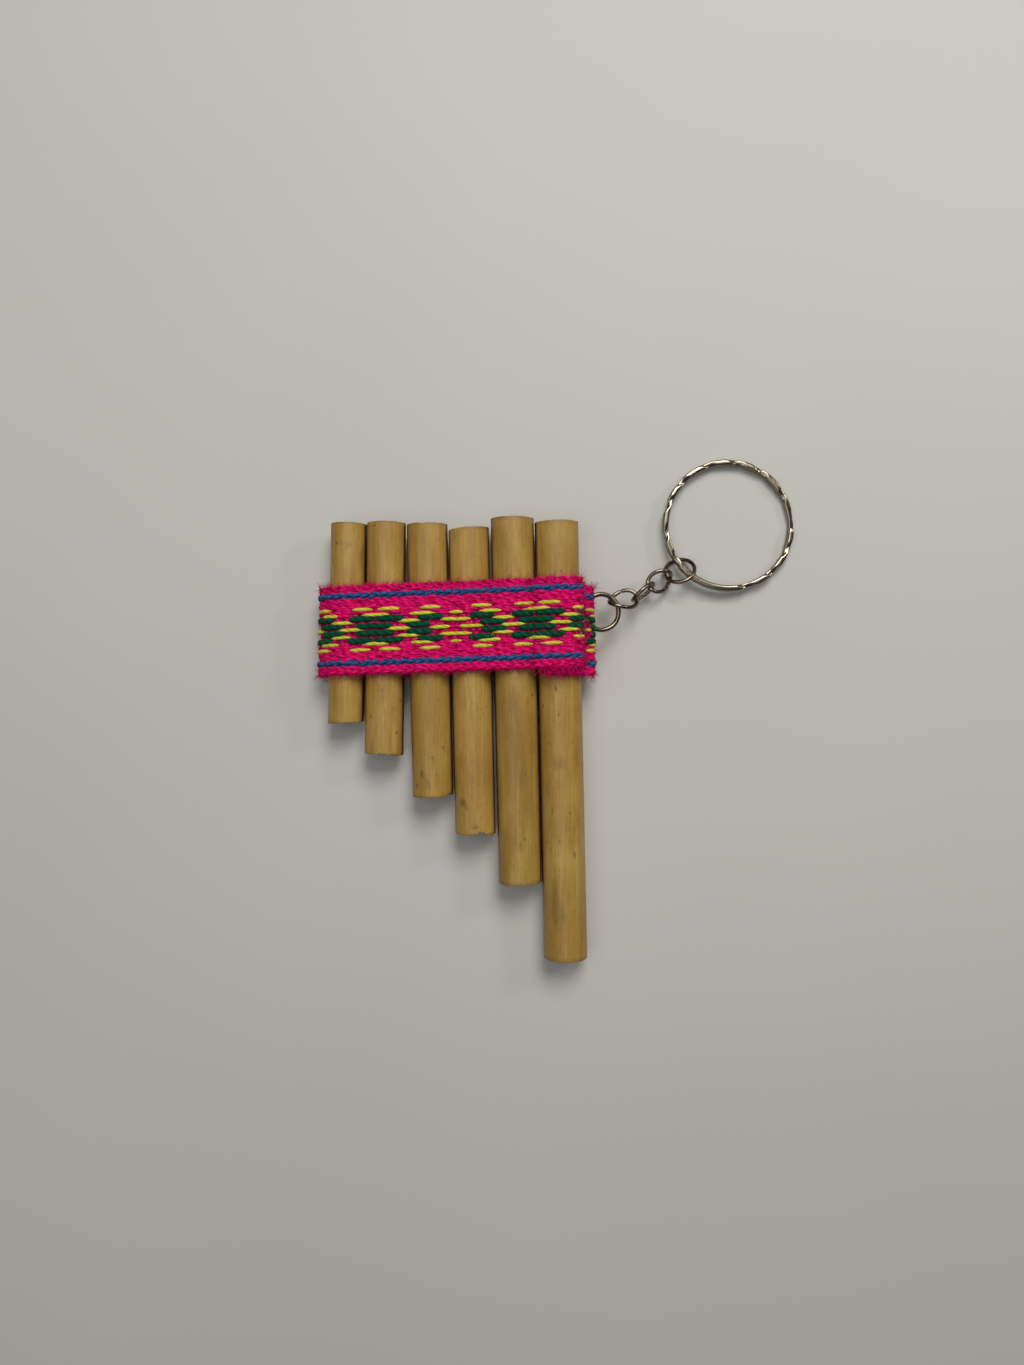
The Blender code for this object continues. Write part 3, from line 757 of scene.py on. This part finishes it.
def rolled(lines, normals, wide, high, sides):
    """A mesh of tubes, one round each line, wide across it and high along its normals.

    lines and normals are arrays of (tube, point, xyz), and wide and high of (tube, point).
    """
    tubes, rows = lines.shape[:2]
    mesh = mesh_from(equal_grids(tubes, rows, sides), "rolled")
    flat = places_of(mesh)
    tube = np.arange(len(flat)) // (rows * (sides + 1))
    row = np.rint((flat[:, 0] + 0.5) * (rows - 1)).astype(int)
    turn = np.rint((flat[:, 1] + 0.5) * sides) / sides
    ahead = np.gradient(lines, axis=1)
    ahead /= np.linalg.norm(ahead, axis=2)[..., None] + 1e-12
    across = np.cross(ahead, normals)
    across /= np.linalg.norm(across, axis=2)[..., None] + 1e-12
    out = np.cross(across, ahead)
    angle = turn * math.tau
    at = (tube, row)
    places = lines[at] + across[at] * (wide[at] * np.cos(angle))[:, None]
    set_places(mesh, places + out[at] * (high[at] * np.sin(angle))[:, None])
    steps = np.linalg.norm(np.diff(lines, axis=1), axis=2)
    distance = np.concatenate((np.zeros((tubes, 1)), np.cumsum(steps, axis=1)), axis=1)
    corners = np.zeros(len(mesh.loops), np.int32)
    mesh.loops.foreach_get("vertex_index", corners)
    layer = mesh.uv_layers.new(name="yarn")
    values = np.stack((distance[at][corners], turn[corners]), 1).astype(np.float32)
    layer.data.foreach_set("uv", values.ravel())
    return mesh


def close_holes(bm):
    """Fills every open end and turns all faces outwards."""
    bmesh.ops.holes_fill(bm, edges=[edge for edge in bm.edges if edge.is_boundary], sides=0)
    bmesh.ops.recalc_face_normals(bm, faces=bm.faces)


class Strands:
    """Collects tubes of any number of points and sides, and makes one closed mesh of them."""

    def __init__(self):
        self.bundles = {}

    def add(self, line, normals, wide, high, sides=6):
        """One tube, kept with the others of the same number of points and sides."""
        rows = len(line)
        normals = np.broadcast_to(normals, (rows, 3))
        tube = (line, normals, np.broadcast_to(wide, rows), np.broadcast_to(high, rows))
        self.bundles.setdefault((rows, sides), []).append(tube)

    def mesh(self, name):
        """All the tubes in one mesh, their seams merged and their ends closed."""
        bm = bmesh.new()
        for (_, sides), tubes in self.bundles.items():
            part = rolled(*(np.array(values) for values in zip(*tubes)), sides)
            bm.from_mesh(part)
            bpy.data.meshes.remove(part)
        bmesh.ops.remove_doubles(bm, verts=bm.verts, dist=2e-8)
        close_holes(bm)
        return mesh_from(bm, name)


def cloth_normals(u):
    """The strip's outward normals at distances along it."""
    nx, nz = on_route(u, route_normal)
    return np.stack((nx, np.zeros_like(nx), nz), -1)


# %% [markdown]
# ## The pattern
# The band is warp-faced: only the yarns that run along it show, and the weft that crosses
# them is hidden. In each row of the pattern a coloured yarn and a pink yarn take turns on the
# face. Where the coloured one is up it floats over a few picks of weft and shows as a spindle
# shape. The table below lists, for each row out from the middle, where it is up, as distances
# from the middle of a bow-tie figure; the figures repeat and each half is a mirror image.

# %% The pattern's table
PICK = 1.65 * MM
REPEAT = 29.6 * MM
FIRST_BOW_X = -13.9 * MM
ROWS = {
    0: (0.0, "lime", [(2.2, 6.7), (10.1, 14.1)]),
    1: (0.655, "green", [(-3.1, 3.1), (6.2, 10.2)]),
    2: (1.31, "lime", [(4.4, 8.1), (12.1, 17.5)]),
    3: (1.965, "green", [(0.35, 4.8), (8.2, 12.3)]),
    4: (2.62, "lime", [(-2.3, 2.3), (6.5, 10.6), (13.6, 16.0)]),
    5: (3.66, "lime", [(0.8, 4.6), (8.4, 12.0)]),
}
PINK_ROWS = (3.14, 4.16, 4.63, 5.10, 5.56)
EDGE_ROWS = (6.78, 7.22)
BLUE_ROW = 6.12
SELVEDGE_ROW = 7.66 * MM

in_front = route_distance > front_start
front_middle_u = np.interp(0.0, route[in_front][:, 0], route_distance[in_front])


def shown(u, spans, pointed, generator):
    """How far a coloured yarn is up on the face, 0 to 1; pointed is how slowly it comes up."""
    bow = (u - front_middle_u - FIRST_BOW_X + REPEAT / 2) % REPEAT - REPEAT / 2
    up = np.zeros_like(u)
    edge = 0.28 * MM
    for start, end in spans:
        for side in (-1, 1):
            a, b = generator.uniform(0.0, 0.5, 2) * MM
            inside = np.minimum(side * bow - start * MM + a, end * MM + b - side * bow)
            up = np.maximum(up, step_up(inside, -edge, pointed * edge))
    return up


def wander(u, generator, waves=40):
    """A slow random wave along the strip, from -1 to 1."""
    return periodic_noise(u / (BAND_LENGTH * 1.1) * math.tau, waves, generator, 0.25)


STATION = 0.24 * MM
stations = np.linspace(0, BAND_LENGTH, int(BAND_LENGTH / STATION))
normals_there = cloth_normals(stations)
YARN_HALF_WIDTH = 0.34 * MM
YARN_HALF_HEIGHT = 0.24 * MM
yarns = {name: Strands() for name in ("pink", "lime", "green", "blue")}


def lay(colour, v, height, wide, high):
    """One yarn along the whole strip at the given distances across and heights."""
    centres = on_cloth(stations, v, height)
    yarns[colour].add(centres, normals_there, wide, high)


def plain(u, row, generator):
    """The up-and-down of plain weave, half a wave later on every second row."""
    phase = u / PICK * math.pi + row * math.pi + generator.uniform(-1.3, 1.3)
    phase += 2.6 * wander(u, generator, 50)
    return np.sin(phase) * (0.75 + 0.5 * wander(u, generator, 70))


generator = np.random.default_rng(21)
raised = {
    row * side: shown(stations, spans, 2.4 if colour == "green" else 5.0, generator)
    for row, (_, colour, spans) in ROWS.items()
    for side in ((-1, 1) if row else (1,))
}
flat_row = np.zeros_like(stations)
for row, up in raised.items():
    distance, colour, _ = ROWS[abs(row)]
    side = -1 if row < 0 else 1
    v = side * distance * MM + 0.07 * MM * wander(stations, generator)
    fullness = 1.20 if colour == "green" else 0.62
    uneven = 1 + 0.10 * wander(stations, generator, 90)
    lay(
        colour,
        v,
        (-0.12 + (0.56 if colour == "green" else 0.50) * up) * MM,
        YARN_HALF_WIDTH * (0.42 + fullness * up) * uneven,
        YARN_HALF_HEIGHT * (0.6 + 0.6 * up),
    )
    pressed = np.maximum(raised.get(row - 1, flat_row), raised.get(row + 1, flat_row))
    wave = plain(stations * 1.9, row, generator)
    lay(
        "pink",
        v,
        (0.16 - 0.20 * up - 0.27 * pressed + 0.13 * wave * (1 - 0.5 * pressed)) * MM,
        YARN_HALF_WIDTH * (1 - 0.35 * up) * (1 + 0.14 * wave),
        YARN_HALF_HEIGHT * (1 - 0.3 * up),
    )
row_number = 0
for distance in PINK_ROWS + EDGE_ROWS:
    for side in (-1, 1):
        row_number += 1
        wave = plain(stations, row_number // 2 + (side > 0), generator)
        v = side * distance * MM + 0.08 * MM * wander(stations, generator, 60)
        lay(
            "pink",
            v,
            (0.12 + 0.22 * wave) * MM,
            YARN_HALF_WIDTH * (0.92 + 0.16 * wave + 0.18 * wander(stations, generator, 110)),
            YARN_HALF_HEIGHT * (1.05 + 0.12 * wave),
        )
for side in (-1, 1):
    for strand in (0, 1):
        turn = stations / PICK * math.pi + strand * math.pi + 0.4 * wander(stations, generator, 8)
        blue_v = side * BLUE_ROW * MM + (0.27 * np.cos(turn) + 0.24 * np.sin(turn)) * MM
        thick = 0.32 + 0.08 * np.cos(turn) + 0.04 * wander(stations, generator, 90)
        lay("blue", blue_v, (0.22 + 0.28 * np.cos(turn)) * MM, thick * MM, 0.28 * MM)
        turn = stations / (1.25 * PICK) * math.pi + strand * math.pi
        turn += 0.4 * wander(stations, generator, 9)
        loops_out = 0.22 * np.cos(turn) + 0.16 * wander(stations, generator, 60)
        edge_v = side * (SELVEDGE_ROW + loops_out * MM)
        lay("pink", edge_v, 0.24 * MM * np.sin(turn), 0.34 * MM, 0.31 * MM)

# %% Finish the yarns
def wool_pieces(kind, bundles):
    """One piece of each colour, from the tubes collected for it."""
    pieces = []
    for colour, collected in bundles.items():
        mesh = collected.mesh(f"band_{kind}_{colour}")
        pieces.append(new_piece(mesh.name, mesh, WOOLS[colour], "flute", "woven_wool"))
        print(colour, kind, "faces:", len(mesh.polygons))
    return pieces


yarn_pieces = wool_pieces("yarns", yarns)

# %% [markdown]
# ## The ground cloth
# Under the yarns lies the ground of the cloth, where weft and hidden warps are packed tight.
# It is one closed sheet: a grid laid on the route and given its thickness.

# %% Ground cloth
GROUND_THICKNESS = 0.42 * MM
GROUND_HEIGHT = -0.12 * MM


def ground_cloth():
    """The strip's ground as a closed sheet."""
    bm = bmesh.new()
    along, across = 420, 24
    bmesh.ops.create_grid(bm, x_segments=along, y_segments=across, size=0.5)
    for vert in bm.verts:
        u = (vert.co.x + 0.5) * BAND_LENGTH
        v = vert.co.y * (BAND_WIDTH - 0.5 * MM)
        ripple = 0.03 * MM * math.sin(u / PICK * math.pi) * math.cos(v / (0.5 * MM) * math.pi)
        vert.co = on_cloth(u, v, GROUND_HEIGHT + GROUND_THICKNESS / 2 + ripple)
    bmesh.ops.recalc_face_normals(bm, faces=bm.faces)
    bmesh.ops.solidify(bm, geom=bm.faces[:], thickness=GROUND_THICKNESS)
    bmesh.ops.recalc_face_normals(bm, faces=bm.faces)
    return mesh_from(bm, "band_ground")


def ground_finish():
    """Packed pink wool, darker than the yarns because it lies in their shade."""
    finish, tree, shader, where = new_finish("pink_ground")
    fibre = noise(tree, where, 4200.0, 4.0, 0.7)
    lump = noise(tree, where, 900.0, 3.0, 0.6)
    tone = maths(tree, "MULTIPLY", maths(tree, "ADD", fibre, lump), 0.5)
    colour = ramp(tree, tone, (0.35, (0.12, 0.001, 0.022)), (0.62, (0.42, 0.003, 0.085)))
    connect(tree, shader, Base_Color=colour, Normal=bump(tree, fibre, 0.08 * MM, 0.8))
    connect(tree, shader, Roughness=0.95, Specular_IOR_Level=0.06)
    return finish


cloth, finish = ground_cloth(), ground_finish()
ground = new_piece("band_ground", cloth, finish, "flute", "woven_wool", "band_wrap")
print("ground faces:", len(cloth.polygons))

# %% [markdown]
# ## Fluff and loose ends
# Wool sheds a haze of fine hairs, thickest along the edges and at the two cut ends, and that
# soft outline is what makes the band look like wool. Each hair is a thin three-sided tube on
# a curl of a few points. Where the strip was cut, the yarns' ends stick out as short tufts.


# %% Hairs
HAIR_RADIUS = 0.036 * MM
generator = np.random.default_rng(33)
hairs = {name: Strands() for name in ("pink", "face", "lime", "green")}


def hair(colour, u, v, height, length, lean_v, lean_out,
         thick=1.0, points=6, curl=0.75, sides=3, ahead=0.0):
    """One curly hair that starts in the cloth and leans out of it."""
    direction_u = ahead + generator.normal() * 0.7
    heading = np.array((direction_u, lean_v, lean_out))
    heading /= np.linalg.norm(heading)
    bend = generator.normal(size=3) * curl
    share = np.linspace(0, 1, points)[:, None]
    turned = heading * share + bend * share**2 + generator.normal(size=(points, 3)) * 0.05 * share
    path = turned * length / max(1.0, np.linalg.norm(turned[-1]))
    centres = on_cloth(u + path[:, 0], v + path[:, 1], height + path[:, 2])
    normals = np.tile(generator.normal(size=3), (points, 1))
    taper = HAIR_RADIUS * thick * (1.1 - 0.55 * share[:, 0])
    hairs[colour].add(centres, normals, taper, taper, sides=sides)


def hair_length(scale, longest):
    """Mostly short, now and then long, never past the longest; both in mm."""
    return min(generator.gamma(3.0, scale), longest) * MM


HALF = BAND_WIDTH / 2
FLOAT_REACH = 2.9 * MM
EDGE_HAIRS = 5600
FACE_HAIRS = 4500
END_HAIRS = 1000
for _ in range(EDGE_HAIRS):
    side = generator.choice((-1, 1))
    u = generator.uniform(0.3 * MM, BAND_LENGTH)
    hair("pink", u, side * HALF * generator.uniform(0.94, 1.0),
         generator.uniform(-0.2, 0.45) * MM, hair_length(0.38, 2.0),
         side * generator.uniform(0.2, 1.2), generator.normal() * 0.5 + 0.1, points=5)
for _ in range(END_HAIRS):
    u = BAND_LENGTH - generator.uniform(0, 1.2) * MM
    hair("face", u, HALF * generator.uniform(-1.02, 1.02),
         generator.uniform(-0.2, 0.4) * MM, hair_length(0.38, 2.0),
         generator.normal() * 0.6, generator.uniform(-0.1, 0.5), ahead=0.8)
for _ in range(FACE_HAIRS):
    v = HALF * generator.uniform(-1, 1)
    colour, thick = "face", 1.15
    if abs(v) < FLOAT_REACH:
        colour, thick = generator.choice(("lime", "face", "green"), p=(0.16, 0.72, 0.12)), 0.7
    hair(colour, generator.uniform(0.3 * MM, BAND_LENGTH), v,
         generator.uniform(0.3, 0.5) * MM, hair_length(0.24, 1.5),
         generator.normal() * 0.8, generator.uniform(0.05, 0.35), thick=float(thick))

# %% Loose ends
TUFTS = 90
for _ in range(TUFTS):
    v = HALF * generator.uniform(-0.98, 0.98)
    colour = "pink"
    if abs(v) < 2.8 * MM:
        colour = generator.choice(("lime", "pink", "green"), p=(0.45, 0.35, 0.20))
    hair(colour, BAND_LENGTH - 0.3 * MM, v, 0.1 * MM, generator.uniform(0.5, 1.1) * MM,
         generator.normal() * 0.35, generator.normal() * 0.2,
         thick=5.5, points=5, curl=0.3, sides=5)
SKIRT_TUFTS = 190
for _ in range(SKIRT_TUFTS):
    u = BAND_LENGTH - generator.uniform(1.5, 7.5) * MM
    hair("face", u, -HALF * generator.uniform(0.96, 1.02), generator.uniform(-0.4, 0.2) * MM,
         generator.uniform(1.0, 2.8) * MM, -generator.uniform(0.4, 1.0), generator.normal() * 0.3,
         thick=2.0, points=7, curl=1.2, sides=4)

fluff_pieces = wool_pieces("fluff", hairs)

# %% [markdown]
# ## Nickel finish
# The rings and links are steel wire with a bright nickel plate, yellowed a little with age. A
# metal shows mostly what it reflects, so the colour stays even and the roughness changes: fine
# scratches, duller patches and a trace of brown in the hollows.


# %% Nickel finish
def nickel_finish(name, tint, dull):
    """Worn nickel plate with fine scratches."""
    finish, tree, shader, where = new_finish(name)
    patch = noise(tree, where, 420.0, 4.0, 0.6)
    scratch = noise(tree, stretched(tree, where, (1.0, 0.25, 1.0)), 7000.0, 3.0, 0.6, 0.5)
    pale = tuple(min(1.0, channel * 1.14) for channel in tint)
    brown = (tint[0] * 0.55, tint[1] * 0.48, tint[2] * 0.38)
    colour = ramp(tree, patch, (0.22, brown), (0.42, tint), (0.75, pale))
    rough = plus(tree, plus(tree, dull - 0.10, patch, 0.20), scratch, 0.08)
    connect(tree, shader, Base_Color=colour, Roughness=rough, Metallic=1.0)
    relief = plus(tree, scratch, patch, 2.0)
    connect(tree, shader, Normal=bump(tree, relief, 0.006 * MM, 0.6))
    return finish


WIRE = nickel_finish("nickel_wire", (0.215, 0.178, 0.130), 0.20)
COIL = nickel_finish("nickel_coil", (0.30, 0.262, 0.195), 0.17)

# %% [markdown]
# ## Wire rings and chain links
# Each ring is a bent piece of round wire whose two ends meet in a butt joint. The packed
# loops have flat sides, so a copy of each is merged, its triangles are joined to quads, a thin
# slice is cut out for the joint, and a Subdivision Surface rounds the rest. The slice is cut
# with two planes, and the holes are closed, so each end is a real face. Subdivision rounds an
# eight-sided wire inwards, so its corners are first pushed out to make up for that. The drawn
# wire comes out 2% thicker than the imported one; much more would make hooked loops touch.

# %% Wire loops
LOOPS = {
    "jump_ring_band": ("band_ring", 0.90 * MM, 205.0),
    "chain_link_1": ("link_1", 0.75 * MM, 100.0),
    "chain_link_2": ("link_2", 0.75 * MM, 262.0),
    "chain_link_3": ("link_3", 0.75 * MM, 95.0),
    "jump_ring_key": ("key_jump", 0.75 * MM, 150.0),
}
JOINT_GAP = 0.07 * MM
ROUNDING_GAIN = 0.13


def wire_loop(node, body, wire, joint_angle):
    """A packed loop as smooth round wire with a butt joint at an angle round it."""
    mesh = frame["nodes"][node].data.copy()
    mesh.materials.clear()
    bm = bmesh.new()
    bm.from_mesh(mesh)
    bmesh.ops.remove_doubles(bm, verts=bm.verts, dist=1e-6)
    bmesh.ops.join_triangles(
        bm, faces=bm.faces, angle_face_threshold=1.2, angle_shape_threshold=1.6
    )
    places = np.array([vert.co for vert in bm.verts])
    middle = places.mean(0)
    spread = np.linalg.svd(places - middle, full_matrices=False)[2]
    turn = math.radians(joint_angle)
    radial = Vector(spread[0] * math.cos(turn) + spread[1] * math.sin(turn))
    plane_no = Vector(-spread[0] * math.sin(turn) + spread[1] * math.cos(turn))
    centre = Vector(middle)
    bm.normal_update()
    gain = ROUNDING_GAIN * wire / 2
    for vert in bm.verts:
        vert.co += vert.normal * gain
    for way in (-1, 1):
        geometry = bm.verts[:] + bm.edges[:] + bm.faces[:]
        bmesh.ops.bisect_plane(
            bm, geom=geometry, plane_co=centre + plane_no * way * JOINT_GAP / 2, plane_no=plane_no
        )
    inside = [
        face
        for face in bm.faces
        if abs((face.calc_center_median() - centre).dot(plane_no)) < JOINT_GAP / 2
        and (face.calc_center_median() - centre).dot(radial) > 0
    ]
    bmesh.ops.delete(bm, geom=inside, context="FACES")
    close_holes(bm)
    name = f"{node}_wire"
    piece = new_piece(name, mesh_from(bm, name), WIRE, body, "nickel_wire", node)
    rounding = piece.modifiers.new("rounding", "SUBSURF")
    rounding.levels = rounding.render_levels = 2
    return piece


loops = [wire_loop(node, *facts) for node, facts in LOOPS.items()]
print("wire pieces:", [piece.name for piece in loops])

# %% [markdown]
# ## Split key ring
# The key ring is one flat wire wound twice round, like a tight spring, with dents hammered
# along it as decoration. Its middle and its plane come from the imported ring, and the wire is
# swept along the same climbing path: a grid is rolled round it as the yarn was, with a squarish
# section. Each dent is a shallow cut that runs slantwise over the wire.

# %% Key ring
COIL_WIDTH = 1.1 * MM
COIL_HEIGHT = 0.8 * MM
COIL_GAP = 0.1 * MM
SPLIT_ANGLE = 330.0
COIL_STEPS = 42
CLIMB_SHARE = 0.16
key_joint = next(joint for joint in frame["joints"] if joint["child"] == "split_ring")


def measured_key_ring():
    """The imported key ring's middle, its two directions in its plane, and its wire's radius."""
    corners = corners_of("key_ring")
    y_axis = np.array(key_joint["axis"])
    hook = np.array(key_joint["pos_m"])
    middle = corners.mean(0)
    for _ in range(20):
        x_axis = middle - hook
        x_axis -= y_axis * (x_axis @ y_axis)
        x_axis /= np.linalg.norm(x_axis)
        flat = np.stack(((corners - hook) @ x_axis, (corners - hook) @ y_axis), 1)
        terms = np.c_[2 * flat, np.ones(len(flat))]
        fit = np.linalg.lstsq(terms, (flat**2).sum(1), rcond=None)[0]
        middle = hook + x_axis * fit[0]
    return middle, x_axis, y_axis, fit[0]


ring_middle, ring_x, ring_y, ring_reach = measured_key_ring()
ring_z = np.cross(ring_x, ring_y)
print("key ring middle in mm:", (ring_middle / MM).round(2), "radius", round(ring_reach / MM, 2))

# %% Coils and dents
DENTS = 14
DENT_DEPTH = 0.23 * MM
DENT_HALF, DENT_SLANT = 3.9, 3.4  # degrees of the ring
SMOOTH_START, SMOOTH_END = 186.0, 238.0
SECTION_SIDES = 24
FINE_STEPS = 420


def squarish(angle, half_width, half_height, power=3.2):
    """The wire's section: a rounded rectangle, as (across, up) for angles round it."""
    c, s = np.cos(angle), np.sin(angle)
    stretch = (np.abs(c) ** power + np.abs(s) ** power) ** (-1 / power)
    return half_width * c * stretch, half_height * s * stretch


def key_ring():
    """Two coils of flat wire with slanting dents."""
    turns = (2 * COIL_STEPS - 2) / COIL_STEPS
    count = int(FINE_STEPS * turns)
    bm = bmesh.new()
    bmesh.ops.create_grid(bm, x_segments=count - 1, y_segments=SECTION_SIDES, size=0.5)
    flat = np.array([vert.co for vert in bm.verts])
    turn = (flat[:, 0] + 0.5) * turns
    section = (flat[:, 1] + 0.5) * math.tau
    angle = math.tau * turn + math.radians(SPLIT_ANGLE)
    level = step_up((turn - 1.0) / CLIMB_SHARE + 0.5, 0, 1) - 0.5
    taper = step_up(np.minimum(turn, turns - turn) * 360, -1.0, 3.0)
    across, up = squarish(section, COIL_WIDTH / 2, COIL_HEIGHT / 2)
    across, up = across * (0.75 + 0.25 * taper), up * (0.75 + 0.25 * taper)

    generator = np.random.default_rng(5)
    degrees = np.degrees(angle) % 360
    slant = across / (COIL_WIDTH / 2) * DENT_SLANT
    cut = np.zeros_like(across)
    for dent in range(DENTS):
        middle = (dent + 0.5) * 360 / DENTS + generator.uniform(-2.5, 2.5)
        if SMOOTH_START < middle < SMOOTH_END:
            continue
        off = turned_from(middle, degrees - slant)
        depth = generator.uniform(0.75, 1.1)
        tilt = 1 + generator.uniform(-0.5, 0.5) * across / (COIL_WIDTH / 2)
        cut = np.maximum(cut, depth * tilt * np.clip(1.7 - np.abs(off) / DENT_HALF, 0, 1))
    top = np.clip(up / (COIL_HEIGHT / 2), 0, 1) * (level > 0)
    bottom = np.clip(-up / (COIL_HEIGHT / 2), 0, 1) * (level <= 0)
    outer = np.clip(across / (COIL_WIDTH / 2), 0, 1)
    inner = np.clip(-across / (COIL_WIDTH / 2), 0, 1)
    up = up - cut * DENT_DEPTH * (top - bottom)
    across = across - cut * DENT_DEPTH * (0.8 * outer - 0.35 * inner)
    radius = ring_reach + across
    rise = level * (COIL_HEIGHT + COIL_GAP) + up
    local = np.stack((radius * np.cos(angle), radius * np.sin(angle), rise), 1)
    placed = ring_middle + local @ np.stack((ring_x, ring_y, ring_z))
    for vert, place in zip(bm.verts, placed):
        vert.co = place
    bmesh.ops.remove_doubles(bm, verts=bm.verts, dist=1e-7)
    close_holes(bm)
    return mesh_from(bm, "split_ring_coils")


coils = new_piece("split_ring_coils", key_ring(), COIL, "split_ring", "key_ring_steel", "key_ring")
coils.data.set_sharp_from_angle(angle=math.radians(50))
